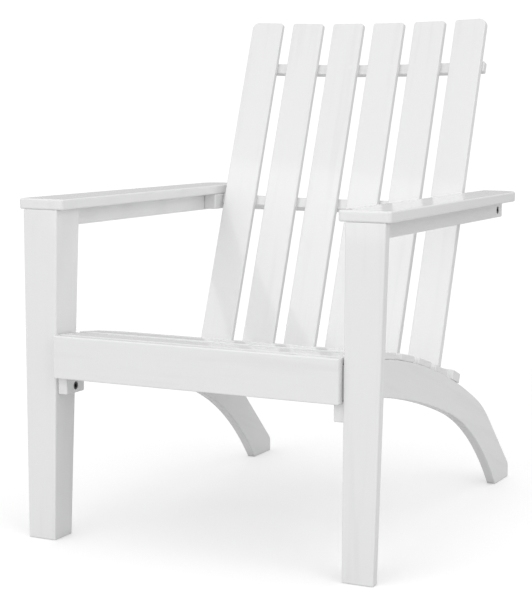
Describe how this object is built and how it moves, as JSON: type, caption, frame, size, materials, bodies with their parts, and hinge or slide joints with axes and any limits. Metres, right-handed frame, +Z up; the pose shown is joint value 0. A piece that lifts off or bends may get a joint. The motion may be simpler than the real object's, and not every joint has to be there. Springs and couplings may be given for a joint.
{
  "type": "adirondack chair",
  "caption": "Low reclined garden armchair in white painted boards, with a fan-like hollow slatted back, wide flat armrests and arched side rails that run back to the floor.",
  "frame": {"origin": "on the floor, under the middle of the chair's overall footprint", "axes": "+Z up; the sitter faces -Y; +X is the side named right, which is the viewer's right when looking at the front of the chair"},
  "size_m": [0.6776, 0.831, 0.9095],
  "materials": {
    "white_paint": "semi-gloss white outdoor paint over smooth boards, edges eased",
    "bolt_steel": "zinc-plated steel, dull",
    "bare_wood": "plain unpainted dowel, hidden inside the joints"
  },
  "bodies": {
    "root": {"apron": "white_paint", "apron_dowels": "bare_wood", "arm_block_left": "white_paint", "arm_block_right": "white_paint", "arm_dowels": "bare_wood", "arm_rail_left": "white_paint", "arm_rail_right": "white_paint", "armrest_left": "white_paint", "armrest_right": "white_paint", "back_rail_arm": "white_paint", "back_rail_dowels": "bare_wood", "back_rail_lower": "white_paint", "back_rail_upper": "white_paint", "back_slat_1": "white_paint", "back_slat_2": "white_paint", "back_slat_3": "white_paint", "back_slat_4": "white_paint", "back_slat_5": "white_paint", "back_slat_6": "white_paint", "frame_bolts": "bolt_steel", "front_leg_left": "white_paint", "front_leg_right": "white_paint", "heel_block_left": "white_paint", "heel_block_right": "white_paint", "leg_side_board_left": "white_paint", "leg_side_board_right": "white_paint", "seat_slat_1": "white_paint", "seat_slat_2": "white_paint", "seat_slat_3": "white_paint", "seat_slat_4": "white_paint", "seat_slat_5": "white_paint", "seat_slat_6": "white_paint", "side_rail_left": "white_paint", "side_rail_right": "white_paint", "slat_plugs": "white_paint", "slat_screws": "bolt_steel", "threaded_inserts": "bolt_steel"}
  },
  "joints": []
}
